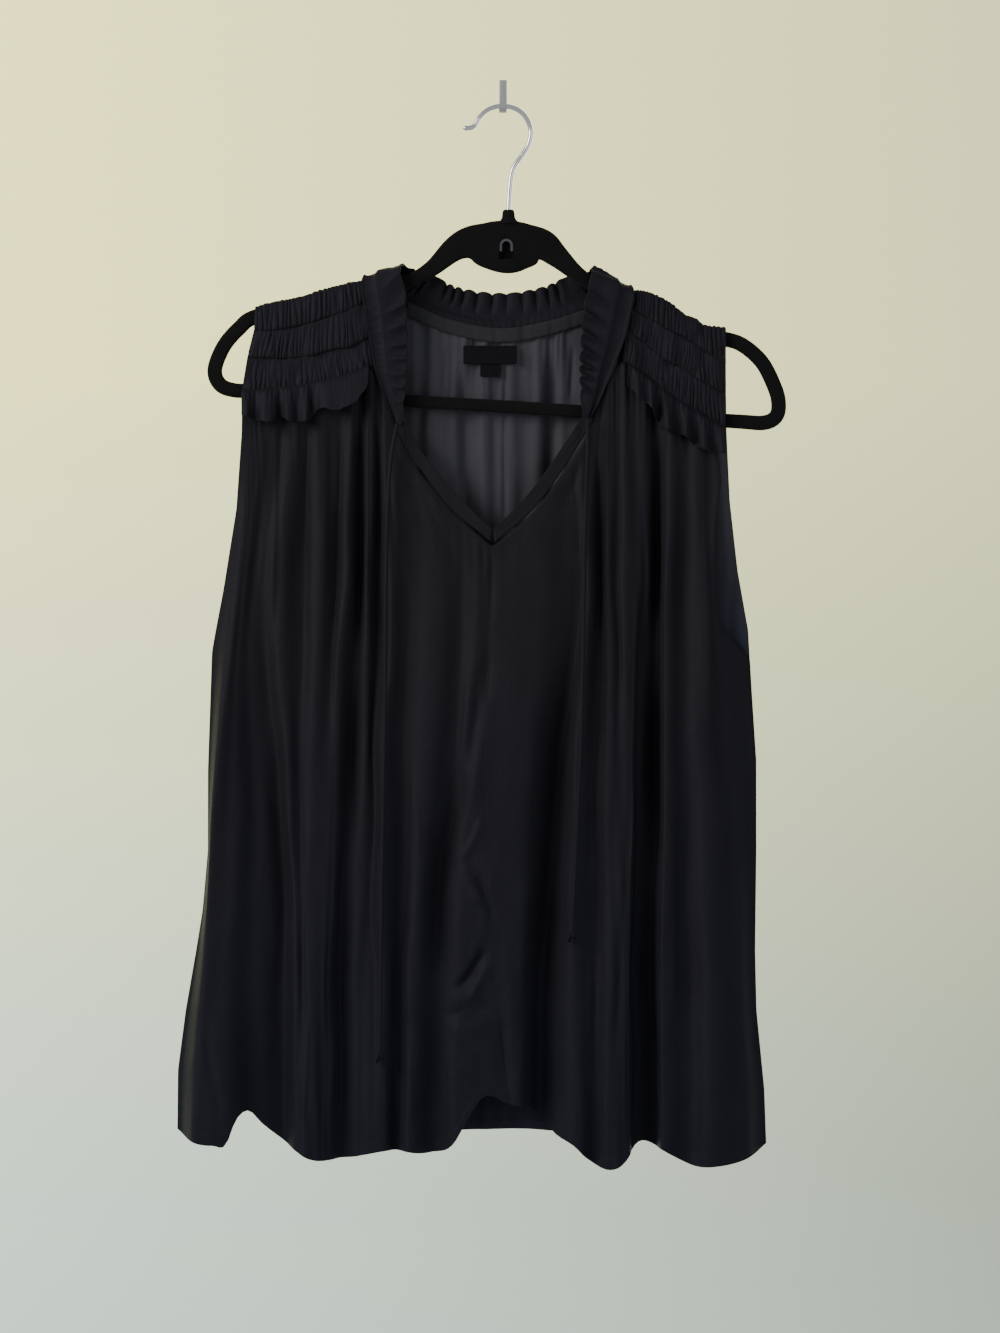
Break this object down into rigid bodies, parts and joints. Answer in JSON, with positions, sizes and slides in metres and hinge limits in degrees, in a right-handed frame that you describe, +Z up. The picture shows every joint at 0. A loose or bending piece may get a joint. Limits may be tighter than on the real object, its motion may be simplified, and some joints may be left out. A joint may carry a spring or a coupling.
{
  "type": "sleeveless blouse on a clothes hanger",
  "caption": "Sleeveless V-neck blouse with smocked shoulder yokes and a neck frill, hung on a slim flocked hanger from a wall hook.",
  "frame": {"origin": "on the flat back face of the wall hook's strap, in the plane of the wall, midway across the strap", "axes": "+Z up, -Y towards the viewer out of the wall, +X to the viewer's right"},
  "size_m": [0.469, 0.0549, 0.8355],
  "materials": {
    "satin": "soft black satin weave, faint sheen, slightly sheer",
    "tape": "grey-black bias tape",
    "label": "smooth dark woven label, bare",
    "flock": "black velvet flocking on a slim plastic hanger",
    "chrome": "bright chrome wire",
    "steel": "plain bent steel strap"
  },
  "bodies": {
    "root": {"front_left": "satin", "front_right": "satin", "back": "satin", "yoke_left": "satin", "yoke_right": "satin", "shoulder_frill_left": "satin", "shoulder_frill_right": "satin", "neck_frill": "satin", "neck_band_left": "satin", "neck_band_right": "satin", "back_neck_tape": "tape", "tie_left": "satin", "tie_right": "satin", "tie_knot_left": "satin", "tie_knot_right": "satin", "label": "label", "size_tab": "label", "hanger": "flock", "swivel_bush": "chrome", "hanger_hook": "chrome", "wall_hook": "steel"}
  },
  "joints": []
}
